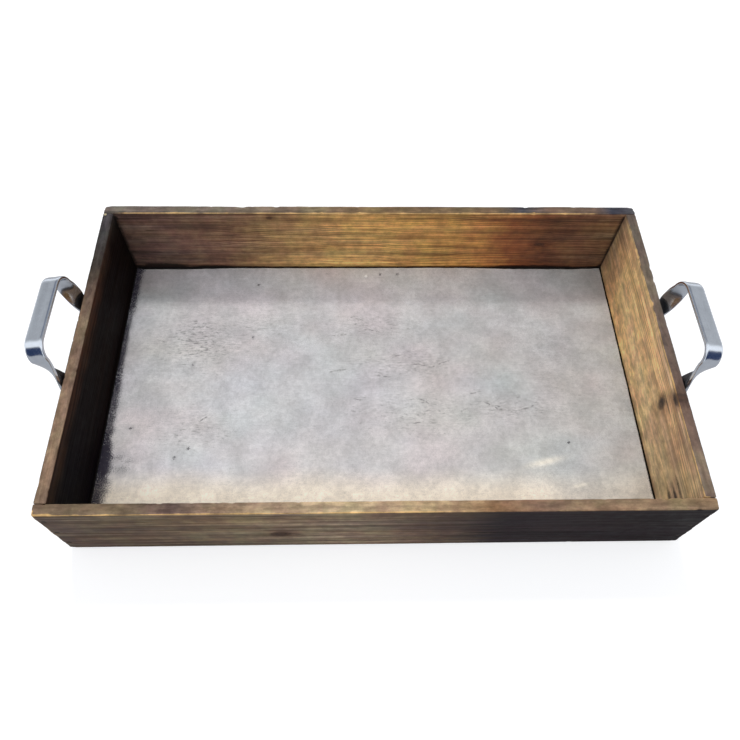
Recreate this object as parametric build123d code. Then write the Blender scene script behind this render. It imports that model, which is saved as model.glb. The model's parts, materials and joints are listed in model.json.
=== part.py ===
from build123d import *

import os

# Rustic pine serving tray with a sheet-metal floor and two raised strap handles.
#
# Frame: X runs along the tray, Y from the front board to the back board, +Z up.
# The origin is the centre of the underside of the base panel, on which the tray stands.
# All sizes are in millimetres.

# ---- Driving dimensions -------------------------------------------------------------
tray_length = 508.0  # outside, over the end boards
tray_width = 304.0  # outside, over the front and back boards

board_thickness = 9.5
board_height = 81.0
board_arris = 0.8  # rounding of the top edges
corner_wear = 2.0  # rounding of the four standing corners

panel_thickness = 4.0  # plywood nailed under the boards
panel_inset = 3.0  # panel edge inside the board faces

sheet_thickness = 0.8  # galvanised sheet lying on the panel
sheet_gap = 1.2  # between the sheet and the boards

strap_width = 15.0  # aluminium flat bar of the handles
strap_thickness = 3.0
strap_shoulder = 2.2  # width of the sloped shoulder along each outer edge
strap_shoulder_drop = 0.7
strap_edge = 0.45  # small rounding of the flat bar's back edges

handle_leg_y = 39.0  # strap centreline in each foot and leg, from the handle's middle
handle_foot_end_below_rim = 42.0
handle_bend_below_rim = 19.3  # where the strap leaves the board
handle_lean = 10.0  # degrees by which the legs tip outward
handle_lean_radius = 15.0  # strap centreline, here and below
handle_lead = 8.3  # straight stretch before the twist
handle_twist_length = 33.0  # quarter turn that brings the grip's wide face up
handle_grip_radius = 13.0
right_handle_y = -2.3  # the handles are set by hand, a little off the middle
left_handle_y = 3.7

screw_shank_radius = 1.75
screw_hole_radius = 1.9  # in the strap
screw_head_radius = 3.5
screw_head_height = 2.3
screw_bite = 8.0  # depth of the screw in the board
screw_slot_width = 0.9
screw_slot_depth = 1.1
screw_from_foot_end = 8.5

nail_shank_radius = 0.8
nail_head_radius = 1.3
nail_head_height = 0.9
nail_recess = 0.4  # heads are set a little below the wood
corner_nail_length = 32.0
corner_nail_heights = (14.0, 40.5, 67.0)  # above the boards' lower edge

panel_nail_length = 18.0
panel_nail_pitch_x = 78.0
panel_nail_pitch_y = 88.0

tack_head_radius = 1.5
tack_head_height = 0.7
tack_shank_radius = 0.7
tack_length = 4.0
tack_from_board = 12.7
tack_x = -4.9

pin_from_end = 2.3  # brass pin in the top of the left board, from its outer face
pin_from_back = 1.8  # and from the inner face of the back board
pin_length = 15.0

# ---- Levels and faces that follow from them -------------------------------------------
panel_top = panel_thickness
rim = panel_top + board_height
half_length = tray_length / 2
half_width = tray_width / 2
inner_half_length = half_length - board_thickness
inner_half_width = half_width - board_thickness
foot_end = rim - handle_foot_end_below_rim
screw_level = foot_end + screw_from_foot_end

ALONG_X = Vector(1, 0, 0)
ALONG_Y = Vector(0, 1, 0)
UP = Vector(0, 0, 1)


# ---- Fasteners --------------------------------------------------------------------------
def turned(outline, start, direction):
    """Solid of revolution: outline is (radius, depth) points, depth runs along direction."""
    face = make_face(Plane.XZ * Polyline(*outline, close=True))
    body = revolve(face, Axis.Z)
    return Plane(origin=start, z_dir=direction) * body


def nail(start, direction, length, shank=nail_shank_radius, head=nail_head_radius,
         head_height=nail_head_height):
    """Flat-headed nail with a conical point. start is the middle of the head's top."""
    point = 2.5 * shank
    outline = [
        (0, 0),
        (head, 0),
        (head, head_height),
        (shank, head_height),
        (shank, length - point),
        (0, length),
    ]
    return turned(outline, start, direction)


def recess(start, direction, depth, radius=nail_head_radius):
    """The punched hole above a nail head that is set below the wood."""
    return Plane(origin=start, z_dir=direction) * Cylinder(
        radius, depth, align=(Align.CENTER, Align.CENTER, Align.MIN)
    )


def round_head_screw(seat, direction, slot_angle):
    """Slotted round-head wood screw. seat is the middle of the face under its head."""
    length = strap_thickness + screw_bite
    point = 3.0
    dome = ThreePointArc(
        (0, -screw_head_height),
        (0.68 * screw_head_radius, -0.72 * screw_head_height),
        (screw_head_radius, 0),
    )
    shank = Polyline(
        (screw_head_radius, 0),
        (screw_shank_radius, 0),
        (screw_shank_radius, length - point),
        (0, length),
        (0, -screw_head_height),
    )
    screw = revolve(make_face(Plane.XZ * (dome + shank)), Axis.Z)
    slot = Box(3 * screw_head_radius, screw_slot_width, 2 * screw_slot_depth)
    slot = Pos(0, 0, -screw_head_height) * Rot(0, 0, slot_angle) * slot
    return Plane(origin=seat, z_dir=direction) * (screw - slot)


# ---- Boards -------------------------------------------------------------------------------
def board(length, depth, worn_corners):
    """Upright board on the panel, its length along X, with eased top edges."""
    body = Box(length, depth, board_height, align=(Align.CENTER, Align.CENTER, Align.MIN))
    if worn_corners:
        outer = body.edges().filter_by(Axis.Z).group_by(Axis.Y)[0]
        body = fillet(outer, corner_wear)
        top = body.faces().sort_by(Axis.Z)[-1].edges()
    else:
        top = body.faces().sort_by(Axis.Z)[-1].edges().filter_by(Axis.X)
    return Pos(0, 0, panel_top) * fillet(top, board_arris)


def corner_nails(side_x, side_y):
    """Three nails through a long board into the end grain of an end board."""
    x = side_x * (half_length - board_thickness / 2)
    face = side_y * half_width
    inward = ALONG_Y * -side_y
    heads = [Vector(x, face, panel_top + height) for height in corner_nail_heights]
    nails = [nail(head + inward * nail_recess, inward, corner_nail_length) for head in heads]
    recesses = [recess(head, inward, nail_recess) for head in heads]
    return nails, recesses


def panel_nails(places):
    """Nails up through the base panel into the lower edges of the boards."""
    heads = [Vector(x, y, 0) for x, y in places]
    nails = [nail(head + UP * nail_recess, UP, panel_nail_length) for head in heads]
    recesses = [recess(head, UP, nail_recess) for head in heads]
    return nails, recesses


# ---- Handle ---------------------------------------------------------------------------------
def strap_section(plane):
    """Section of the flat bar: X of the plane is its width, Y points to its outer face."""
    w, t = strap_width / 2, strap_thickness / 2
    outline = Polyline(
        (-w + strap_edge, -t),
        (w - strap_edge, -t),
        (w, -t + strap_edge),
        (w, t - strap_shoulder_drop),
        (w - strap_shoulder, t),
        (-w + strap_shoulder, t),
        (-w, t - strap_shoulder_drop),
        (-w, -t + strap_edge),
        close=True,
    )
    return plane * make_face(outline)


def strap_run(plane, length):
    """Straight stretch of strap. Returns it and the plane at its far end."""
    solid = extrude(strap_section(plane), length, dir=plane.z_dir)
    return solid, Plane(plane.origin + plane.z_dir * length, plane.x_dir, plane.z_dir)


def strap_bend(plane, toward, radius, angle):
    """Circular bend of the strap centreline toward a direction square to its heading."""
    centre = plane.origin + toward * radius
    axis = Axis(centre, plane.z_dir.cross(toward))
    solid = revolve(strap_section(plane), axis, angle)
    spin = Axis((0, 0, 0), plane.z_dir.cross(toward))
    origin = centre + (plane.origin - centre).rotate(spin, angle)
    return solid, Plane(origin, plane.x_dir.rotate(spin, angle), plane.z_dir.rotate(spin, angle))


def strap_twist(plane, length, angle):
    """Straight stretch in which the strap turns steadily about its own centreline."""
    steps = 10
    spin = Axis((0, 0, 0), plane.z_dir)
    planes = [
        Plane(
            plane.origin + plane.z_dir * (length * step / steps),
            plane.x_dir.rotate(spin, angle * step / steps),
            plane.z_dir,
        )
        for step in range(steps + 1)
    ]
    return loft([strap_section(place) for place in planes]), planes[-1]


def half_handle():
    """Front half of the right-hand handle: foot, leg and half of the grip."""
    start = Vector(half_length + strap_thickness / 2, -handle_leg_y, foot_end)
    plane = Plane(start, x_dir=-ALONG_Y, z_dir=UP)
    pieces = []

    foot, plane = strap_run(plane, handle_foot_end_below_rim - handle_bend_below_rim)
    tip_radius = strap_width / 2
    tip_block = Pos(start) * Box(20, 2 * strap_width, 2 * tip_radius)
    tip_round = Pos(start + UP * tip_radius) * Rot(0, 90, 0) * Cylinder(tip_radius, 20)
    pieces.append(foot - (tip_block - tip_round))

    bend, plane = strap_bend(plane, plane.y_dir, handle_lean_radius, handle_lean)
    pieces.append(bend)
    leg, plane = strap_run(plane, handle_lead)
    pieces.append(leg)
    twist, plane = strap_twist(plane, handle_twist_length, -90)
    pieces.append(twist)
    bend, plane = strap_bend(plane, -plane.y_dir, handle_grip_radius, 90)
    pieces.append(bend)
    grip, plane = strap_run(plane, -plane.origin.Y)
    pieces.append(grip)
    return pieces[0].fuse(*pieces[1:])


def right_handle_solid():
    """Whole handle about its own middle, with a screw hole in each foot."""
    half = half_handle()
    whole = half + mirror(half, Plane.XZ)
    for side in (-1, 1):
        hole = Pos(half_length, side * handle_leg_y, screw_level) * Rot(0, 90, 0)
        whole = whole - hole * Cylinder(screw_hole_radius, 4 * strap_thickness)
    return whole


def handle_screws(side_x, handle_y):
    """The two screws of one handle, their slots left at odd angles."""
    seats = [
        Vector(
            side_x * (half_length + strap_thickness), handle_y + side * handle_leg_y, screw_level
        )
        for side in (-1, 1)
    ]
    return [
        round_head_screw(seat, ALONG_X * -side_x, angle)
        for seat, angle in zip(seats, (25, -50))
    ]


# ---- Assembly ---------------------------------------------------------------------------------
def write(node, solids):
    """One STEP file per node. A group of like fasteners stays separate solids."""
    solids = [solid for shape in solids for solid in shape.solids()]
    shape = solids[0] if len(solids) == 1 else Compound(children=solids)
    export_step(shape, f"parts/{node}.step")


def without(body, tools):
    """Body with the tools' volumes cut out of it."""
    return body.cut(*[solid for tool in tools for solid in tool.solids()])


os.makedirs("parts", exist_ok=True)

nodes = {}
cuts = []

for side_x, side_y, name in (
    (-1, -1, "front_left"),
    (1, -1, "front_right"),
    (-1, 1, "back_left"),
    (1, 1, "back_right"),
):
    nails, recesses = corner_nails(side_x, side_y)
    nodes[f"{name}_corner_nails"] = nails
    cuts += nails + recesses

long_x = [panel_nail_pitch_x * step for step in range(-3, 4)]
end_y = [panel_nail_pitch_y * step for step in (-1, 0, 1)]
long_y = half_width - board_thickness / 2
end_x = half_length - board_thickness / 2
for name, places in (
    ("front_panel_nails", [(x, -long_y) for x in long_x]),
    ("back_panel_nails", [(x, long_y) for x in long_x]),
    ("left_panel_nails", [(-end_x, y) for y in end_y]),
    ("right_panel_nails", [(end_x, y) for y in end_y]),
):
    nails, recesses = panel_nails(places)
    nodes[name] = nails
    cuts += nails + recesses

nodes["floor_sheet_tacks"] = [
    nail(
        Vector(tack_x, side * (inner_half_width - tack_from_board),
               panel_top + sheet_thickness + tack_head_height),
        -UP,
        tack_head_height + tack_length,
        tack_shank_radius,
        tack_head_radius,
        tack_head_height,
    )
    for side in (-1, 1)
]
cuts += nodes["floor_sheet_tacks"]

pin_place = Vector(-half_length + pin_from_end, inner_half_width - pin_from_back, rim)
nodes["back_left_top_pin"] = [nail(pin_place, -UP, pin_length)]
cuts += nodes["back_left_top_pin"]

right_screws = handle_screws(1, right_handle_y)
left_screws = handle_screws(-1, left_handle_y)
nodes["right_handle_screws"] = right_screws
nodes["left_handle_screws"] = left_screws
cuts += right_screws + left_screws

long_board = board(tray_length, board_thickness, worn_corners=True)
end_board = Rot(0, 0, 90) * board(2 * inner_half_width, board_thickness, worn_corners=False)
board_y = half_width - board_thickness / 2
front_board = Pos(0, -board_y, 0) * long_board
back_board = mirror(front_board, Plane.XZ)
left_board = Pos(-end_x, 0, 0) * end_board
right_board = Pos(end_x, 0, 0) * end_board

base_panel = Box(
    tray_length - 2 * panel_inset,
    tray_width - 2 * panel_inset,
    panel_thickness,
    align=(Align.CENTER, Align.CENTER, Align.MIN),
)
floor_sheet = Pos(0, 0, panel_top) * Box(
    2 * (inner_half_length - sheet_gap),
    2 * (inner_half_width - sheet_gap),
    sheet_thickness,
    align=(Align.CENTER, Align.CENTER, Align.MIN),
)

for name, body in (
    ("front_board", front_board),
    ("back_board", back_board),
    ("left_board", left_board),
    ("right_board", right_board),
    ("base_panel", base_panel),
    ("floor_sheet", floor_sheet),
):
    nodes[name] = [without(body, cuts)]

handle = right_handle_solid()
nodes["right_handle"] = [Pos(0, right_handle_y, 0) * handle]
nodes["left_handle"] = [Pos(0, left_handle_y, 0) * mirror(handle, Plane.YZ)]

for name, solids in nodes.items():
    write(name, solids)
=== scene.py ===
import json
import math

import bmesh
import bpy
import numpy as np
from mathutils import Matrix, Vector


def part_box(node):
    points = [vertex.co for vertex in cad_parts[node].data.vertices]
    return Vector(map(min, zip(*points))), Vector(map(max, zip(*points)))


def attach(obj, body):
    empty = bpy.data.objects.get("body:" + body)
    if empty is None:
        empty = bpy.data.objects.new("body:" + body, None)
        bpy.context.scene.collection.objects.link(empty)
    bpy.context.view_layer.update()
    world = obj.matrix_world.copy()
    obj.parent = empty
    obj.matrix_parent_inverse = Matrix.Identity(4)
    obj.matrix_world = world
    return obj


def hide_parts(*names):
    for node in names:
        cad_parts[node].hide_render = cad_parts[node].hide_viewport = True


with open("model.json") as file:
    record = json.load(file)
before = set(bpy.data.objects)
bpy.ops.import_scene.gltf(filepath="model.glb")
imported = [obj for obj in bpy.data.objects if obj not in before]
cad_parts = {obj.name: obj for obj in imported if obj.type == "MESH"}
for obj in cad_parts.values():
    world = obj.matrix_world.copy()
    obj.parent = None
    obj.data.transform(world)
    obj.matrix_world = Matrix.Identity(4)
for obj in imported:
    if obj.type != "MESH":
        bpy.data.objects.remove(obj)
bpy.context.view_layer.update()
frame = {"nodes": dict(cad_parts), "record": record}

# Looks of a rustic wooden tray with a sheet-metal floor and two bright strap handles.
# X runs along the tray, Y from the front board to the back board, Z up; lengths in metres.

MM = 0.001
TINY = 1e-9
FAR = 9.0  # more than any distance at which a knot, crack or crease still shows
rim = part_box("front_board")[1].z
half_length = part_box("front_board")[1].x
tray_length = 2 * half_length


# ---- Numbers and noise ----
def linear(red, green, blue):
    """Linear colour from the usual 0 to 255 display values."""
    values = np.array([red, green, blue], float) / 255
    return np.where(values <= 0.04045, values / 12.92, ((values + 0.055) / 1.055) ** 2.4)


def smooth(low, high, x):
    """0 below low, 1 above high, smooth between."""
    t = np.clip((x - low) / (high - low), 0, 1)
    return t * t * (3 - 2 * t)


def bump(x, centre, reach):
    """Bell of height 1 about centre."""
    return np.exp(-(((x - centre) / reach) ** 2))


def noise(points, size, seed):
    """Smooth value noise from -1 to 1. size is one feature size in mm, or one for each axis."""
    cell = points / (np.asarray(size, float) * MM)
    base = np.floor(cell).astype(np.int64)
    part = cell - base
    part = part * part * (3 - 2 * part)
    total = np.zeros(len(points))
    for corner in np.ndindex(2, 2, 2):
        lattice = base + np.array(corner)
        key = (lattice @ np.array([374761393, 668265263, 2147483629]) + seed * 1274126177)
        key = (key & 0xFFFFFFFF).astype(np.uint64)
        key = ((key ^ (key >> np.uint64(13))) * np.uint64(1103515245)) & np.uint64(0xFFFFFFFF)
        key = ((key ^ (key >> np.uint64(15))) * np.uint64(2654435761)) & np.uint64(0xFFFFFFFF)
        value = (key ^ (key >> np.uint64(16))).astype(float) / 2**31 - 1
        weight = np.prod(np.where(corner, part, 1 - part), axis=1)
        total += weight * value
    return total


def fractal(points, size, seed, octaves=3):
    """Sum of finer and fainter noise, from about -1 to 1."""
    total, height = np.zeros(len(points)), 0.6
    for octave in range(octaves):
        total += height * noise(points, np.asarray(size, float) / 2**octave, seed + octave)
        height /= 2
    return total


def in_mm(rows, count):
    """Rows with their first count numbers taken from millimetres to metres."""
    return [tuple(value * MM for value in row[:count]) + tuple(row[count:]) for row in rows]


def blend(colours, other, share):
    """Colours moved toward another by each point's share."""
    return colours + (other - colours) * share[:, None]


def along(x, stops):
    """Colours or numbers along x, blended between (place, value) stops."""
    places = [place for place, value in stops]
    values = np.array([value for place, value in stops], float)
    if values.ndim == 1:
        return np.interp(x, places, values)
    return np.stack([np.interp(x, places, channel) for channel in values.T], axis=1)


def spaced(low, high, step, fine=()):
    """Coordinates from low to high, closer together within reach of each fine place."""
    places = [low]
    while places[-1] < high:
        gap = step
        for place, reach, fine_step in fine:
            away = max(0.0, abs(places[-1] - place) - reach)
            gap = min(gap, fine_step + 0.35 * away)
        places.append(places[-1] + gap)
    places = np.array(places)
    return low + (places - low) * (high - low) / (places[-1] - low)


# ---- Meshes ----
def box_grid(lines):
    """Closed grid over a box. lines holds the coordinates along each of the three axes."""
    corners, quads, start = [], [], 0
    for axis in range(3):
        a, b = (axis + 1) % 3, (axis + 2) % 3
        for side in (0, -1):
            grid_a, grid_b = np.meshgrid(lines[a], lines[b], indexing="ij")
            face = np.empty((grid_a.size, 3))
            face[:, axis] = lines[axis][side]
            face[:, a], face[:, b] = grid_a.ravel(), grid_b.ravel()
            index = start + np.arange(grid_a.size).reshape(grid_a.shape)
            ring = [index[:-1, :-1], index[1:, :-1], index[1:, 1:], index[:-1, 1:]]
            if side == 0:
                ring.reverse()
            quads.append(np.stack([part.ravel() for part in ring], axis=1))
            corners.append(face)
            start += grid_a.size
    corners, quads = np.concatenate(corners), np.concatenate(quads)
    keys = np.round(corners * 1e7).astype(np.int64)
    _, first, joined = np.unique(keys, axis=0, return_index=True, return_inverse=True)
    return corners[first], joined.reshape(-1)[quads]


def mesh_piece(name, points, quads, fields=None):
    """Smooth-shaded mesh object. fields are per-point numbers (N) or colours (N, 3)."""
    mesh = bpy.data.meshes.new(name)
    mesh.vertices.add(len(points))
    mesh.vertices.foreach_set("co", points.astype(np.float32).ravel())
    mesh.loops.add(quads.size)
    mesh.loops.foreach_set("vertex_index", quads.astype(np.int32).ravel())
    mesh.polygons.add(len(quads))
    mesh.polygons.foreach_set("loop_start", np.arange(0, quads.size, 4, dtype=np.int32))
    mesh.polygons.foreach_set("use_smooth", np.ones(len(quads), bool))
    mesh.update(calc_edges=True)
    for field, values in (fields or {}).items():
        if values.ndim == 2:
            values = np.c_[values, np.ones(len(points))]
            kind, key = "FLOAT_COLOR", "color"
        else:
            kind, key = "FLOAT", "value"
        layer = mesh.attributes.new(field, kind, "POINT")
        layer.data.foreach_set(key, values.astype(np.float32).ravel())
    piece = bpy.data.objects.new(name, mesh)
    bpy.context.scene.collection.objects.link(piece)
    return piece


def dress(piece, material, slot, *nodes):
    """Gives a new piece its material and its place on the frame."""
    piece.data.materials.append(material)
    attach(piece, "root")
    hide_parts(*nodes)
    return piece


# ---- Materials ----
def rgba(colour):
    return (*[float(channel) for channel in colour], 1.0)


class Nodes:
    """A node tree, and short calls that add nodes to it."""

    def __init__(self, tree):
        self.tree = tree

    def add(self, kind, inputs=None, **settings):
        node = self.tree.nodes.new(kind)
        for key, value in settings.items():
            setattr(node, key, value)
        for key, value in (inputs or {}).items():
            self.feed(node.inputs[key], value)
        return node

    def feed(self, socket, value):
        if isinstance(value, bpy.types.NodeSocket):
            self.tree.links.new(value, socket)
        elif socket.type == "VECTOR":
            socket.default_value = tuple(value)[:3]
        else:
            socket.default_value = value

    def math(self, operation, a, b=0.0):
        return self.add("ShaderNodeMath", {0: a, 1: b}, operation=operation).outputs[0]

    def plus(self, *values):
        total = values[0]
        for value in values[1:]:
            total = self.math("ADD", total, value)
        return total

    def minus(self, a, b):
        return self.math("SUBTRACT", a, b)

    def times(self, *values):
        product = values[0]
        for value in values[1:]:
            product = self.math("MULTIPLY", product, value)
        return product

    def swing(self, noise, reach):
        """A noise taken about its middle, times reach."""
        return self.times(self.minus(noise, 0.5), reach)

    def spread(self, value, low, high, to_low=0.0, to_high=1.0, curve="SMOOTHSTEP"):
        """Value from low to high taken to to_low to to_high, and held beyond them."""
        inputs = {"Value": value, "From Min": low, "From Max": high, "To Min": to_low, "To Max": to_high}
        return self.add("ShaderNodeMapRange", inputs, interpolation_type=curve).outputs["Result"]

    def mix(self, share, a, b, blend="MIX"):
        inputs = {0: share, 6: a, 7: b}
        return self.add("ShaderNodeMix", inputs, data_type="RGBA", blend_type=blend).outputs[2]

    def camera_ray(self):
        """1 for what the camera sees directly, 0 for reflections and light."""
        return self.add("ShaderNodeLightPath").outputs["Is Camera Ray"]


class Shader(Nodes):
    """A material with a Principled shader."""

    def __init__(self, name, **sockets):
        self.material = bpy.data.materials.new(name)
        self.material.use_nodes = True
        super().__init__(self.material.node_tree)
        self.surface = self.tree.nodes["Principled BSDF"]
        for socket, value in sockets.items():
            self.surface.inputs[socket.replace("_", " ")].default_value = value

    def field(self, name, colour=False):
        node = self.add("ShaderNodeAttribute", attribute_name=name)
        return node.outputs["Color" if colour else "Fac"]

    def place(self, scale):
        """Object coordinates, multiplied by scale along each axis."""
        here = self.add("ShaderNodeTexCoord").outputs["Object"]
        node = self.add("ShaderNodeMapping", {"Vector": here, "Scale": scale}, vector_type="POINT")
        return node.outputs["Vector"]

    def noise(self, size, detail=3.0, roughness=0.55, distortion=0.0):
        """Noise with features of this size in mm: one size, or one for each axis."""
        inputs = {
            "Vector": self.place(1 / (np.broadcast_to(size, 3) * MM)),
            "Scale": 1.0,
            "Detail": detail,
            "Roughness": roughness,
            "Distortion": distortion,
        }
        return self.add("ShaderNodeTexNoise", inputs).outputs["Fac"]

    def shade(self, colour, factor):
        """Colour multiplied by a number."""
        inputs = {0: colour, "Scale": factor}
        return self.add("ShaderNodeVectorMath", inputs, operation="SCALE").outputs["Vector"]

    def relief(self, height, depth, strength):
        """Bumps of this depth in mm."""
        inputs = {"Height": height, "Distance": depth * MM, "Strength": strength}
        return self.add("ShaderNodeBump", inputs).outputs["Normal"]

    def finish(self, colour, roughness=None, normal=None):
        for socket, value in (("Base Color", colour), ("Roughness", roughness), ("Normal", normal)):
            if value is not None:
                self.feed(self.surface.inputs[socket], value)
        return self.material


BARE_WOOD = rgba(linear(222, 180, 118))
KNOT_WOOD = rgba(linear(66, 44, 32))
WOOD_GRIME_AND_SHADE = rgba(linear(24, 19, 17))
CREASE_DIRT_AND_SHADE = rgba(linear(82, 80, 80))
SHEET_GRIME_AND_SHADE = rgba(linear(46, 42, 56))
BIRCH = rgba(linear(150, 116, 78))
PANEL_DIRT_AND_SHADE = rgba(linear(20, 17, 16))
PLY, PANEL_TOP = 1.4, 4.0  # mm
KNOT_HALO = (0.52, 0.42, 0.38, 1)
WHITE = (1, 1, 1, 1)


def wood(name, grain_axis, specular):
    """Old stained pine. The mesh's fields give its colour, rings, knots, wear and cracks."""
    shader = Shader(name, Specular_IOR_Level=specular)
    plus, minus, times = shader.plus, shader.minus, shader.times
    spread, swing, mix, field = shader.spread, shader.swing, shader.mix, shader.field

    def lengthwise(across, length, detail, roughness=0.55):
        sizes = [across] * 3
        sizes[grain_axis] = length
        return shader.noise(sizes, detail, roughness)

    fibres = lengthwise(1.3, 70, 3.0, 0.65)
    streaks = lengthwise(3.4, 120, 4.0)
    bands = lengthwise(11.0, 150, 3.0)
    dashes = lengthwise(1.3, 16, 2.0, 0.5)
    smudge = lengthwise(5.0, 16, 4.0, 0.65)
    blotch = shader.noise(24, 4.0, 0.6)
    mottle = shader.noise(9, 5.0, 0.6)
    specks = shader.noise(1.1, 3.0, 0.7)

    strength = field("grain")
    calm = minus(1.0, strength)
    ring = shader.math("FRACT", plus(field("ring"), swing(streaks, 0.8)))
    late = times(spread(ring, 0.30, 0.86), spread(ring, 0.88, 1.0, 1.0, 0.0), strength)

    def streaked(value):
        """The factor in full where the grain is strong, and nearer 1 where it is weak."""
        return plus(times(value, strength), calm)

    flecked = times(spread(dashes, 0.60, 0.72), field("dashed"))
    light = times(
        minus(1.06, times(late, spread(bands, 0.35, 0.65, 0.10, 0.46))),
        streaked(spread(fibres, 0.32, 0.68, 0.76, 1.20)),
        streaked(spread(streaks, 0.34, 0.66, 0.66, 1.32)),
        mix(calm, WHITE, spread(smudge, 0.34, 0.66, 0.66, 1.26)),
        spread(mottle, 0.28, 0.72, 0.78, 1.18),
        spread(blotch, 0.30, 0.70, 0.84, 1.13),
        spread(specks, 0.30, 0.70, 0.92, 1.06),
        minus(1.0, times(flecked, 0.6)),
    )
    hue = mix(spread(streaks, 0.34, 0.66), (0.97, 0.90, 0.88, 1), (1.02, 1.04, 1.10, 1))
    cast = mix(spread(blotch, 0.35, 0.65), (1.04, 0.97, 1.00, 1), (0.96, 1.03, 0.94, 1))
    base = mix(strength, field("tint", colour=True), hue, "MULTIPLY")
    colour = shader.shade(mix(1.0, base, cast, "MULTIPLY"), light)

    worn = spread(plus(field("wear"), swing(mottle, 0.9), swing(fibres, 0.5)), 0.50, 0.98)
    colour = mix(times(worn, 0.75), colour, shader.shade(BARE_WOOD, light))

    knot = plus(field("knot"), swing(mottle, 0.7))
    heart = spread(knot, 0.55, 1.15, 1.0, 0.0)
    knot_rings = spread(shader.math("PINGPONG", times(knot, 2.6), 0.5), 0.05, 0.5, 0.45, 1.5)
    halo = spread(knot, 0.9, 2.6, 0.6, 0.0)
    colour = mix(halo, colour, mix(1.0, colour, KNOT_HALO, "MULTIPLY"))
    colour = mix(times(heart, 0.75), colour, shader.shade(KNOT_WOOD, knot_rings))

    crack = shader.math("ABSOLUTE", field("crack"))
    split = times(spread(crack, 0.10, 0.42, 1.0, 0.0), field("crack_depth"))
    # Dirt, and painted shade along the floor line, in the inner corners and in the cracks, darken the wood
    # toward one dark colour.
    dirt_and_shade = spread(plus(field("grime"), swing(mottle, 0.8), swing(specks, 0.5)), 0.35, 0.85)
    colour = mix(times(dirt_and_shade, 0.9), colour, WOOD_GRIME_AND_SHADE)
    colour = mix(times(split, 0.92), colour, WOOD_GRIME_AND_SHADE)

    height = plus(minus(times(late, 0.5), times(split, 2.0)), times(fibres, 0.7), times(mottle, 0.5))
    roughness = spread(plus(fibres, times(mottle, 0.6)), 0.5, 1.1, 0.42, 0.68)
    return shader.finish(colour, roughness, shader.relief(height, depth=0.12, strength=0.6))


def galvanised(name):
    """Dull zinc-coated sheet with wrinkles, specks and fine scratches."""
    shader = Shader(name)
    plus, minus, times = shader.plus, shader.minus, shader.times
    spread, swing, field = shader.spread, shader.swing, shader.field
    cloud = shader.noise(26, 5.0, 0.65)
    mottle = shader.noise(5, 5.0, 0.75)
    grit = shader.noise(0.7, 2.0, 0.6)
    brushed = shader.noise((30, 0.8, 1))
    breaks = shader.noise(3.2, 2.0)
    wrinkle = shader.noise((4.8, 1.6, 4), 2.5, 0.6)
    value = times(
        spread(cloud, 0.30, 0.70, 0.86, 1.10),
        spread(mottle, 0.3, 0.7, 0.87, 1.10),
        spread(grit, 0.3, 0.7, 0.86, 1.10),
        spread(brushed, 0.2, 0.8, 0.96, 1.04),
    )
    colour = shader.shade(field("tint", colour=True), value)

    # Painted shade in the creases, with dirt: dark lines along the creases, dark dashes and soft darkening
    # on the wrinkles.
    line = plus(shader.math("ABSOLUTE", field("crease")), swing(grit, 1.3))
    mark = times(spread(line, 0.15, 1.0, 1.0, 0.0), field("crease_depth"), spread(breaks, 0.40, 0.58))
    scuff = field("scuff")
    dash = spread(plus(wrinkle, times(scuff, 0.13)), 0.68, 0.80, 0.0, 0.55)
    soft = times(spread(wrinkle, 0.42, 0.66, 0.0, 0.30), scuff)
    colour = shader.shade(colour, minus(1.04, soft))
    mark = shader.math("MAXIMUM", mark, dash)
    colour = shader.mix(times(mark, 0.75), colour, CREASE_DIRT_AND_SHADE)

    # Dirt and painted shade, from the fields, darken the sheet and take its shine.
    stain = plus(field("grime"), swing(grit, 3.0), swing(mottle, 0.8))
    stained_and_shaded = spread(stain, 0.35, 0.95)
    shader.feed(shader.surface.inputs["Specular IOR Level"], spread(stained_and_shaded, 0.0, 1.0, 0.35, 0.05))
    shader.feed(shader.surface.inputs["Metallic"], spread(stained_and_shaded, 0.0, 1.0, 0.25, 0.0))
    colour = shader.mix(times(stained_and_shaded, 0.98), colour, SHEET_GRIME_AND_SHADE)

    height = plus(minus(times(mottle, 0.5), times(mark, 1.2)), times(grit, 0.25))
    roughness = spread(mottle, 0.2, 0.8, 0.56, 0.70)
    return shader.finish(colour, roughness, shader.relief(height, depth=0.08, strength=0.5))


def bright_metal(name, colour, roughness, scratch=0.5, metallic=1.0):
    """Polished metal with fine scratches, faint dents and a little tarnish."""
    shader = Shader(name, Metallic=metallic)
    plus, times, spread = shader.plus, shader.times, shader.spread
    haze = shader.noise(9, 4.0, 0.6)
    fine = shader.noise((0.35, 9, 0.35))
    value = times(spread(haze, 0.25, 0.75, 0.92, 1.04), spread(fine, 0.2, 0.8, 0.95, 1.04))
    hazy = spread(haze, 0.3, 0.7, roughness - 0.03, roughness + 0.05)
    height = plus(times(haze, 0.8), times(fine, 0.15))
    return shader.finish(
        shader.shade(rgba(colour), value),
        plus(hazy, spread(fine, 0.3, 0.8, 0.0, 0.06)),
        shader.relief(height, depth=0.10, strength=scratch),
    )


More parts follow.
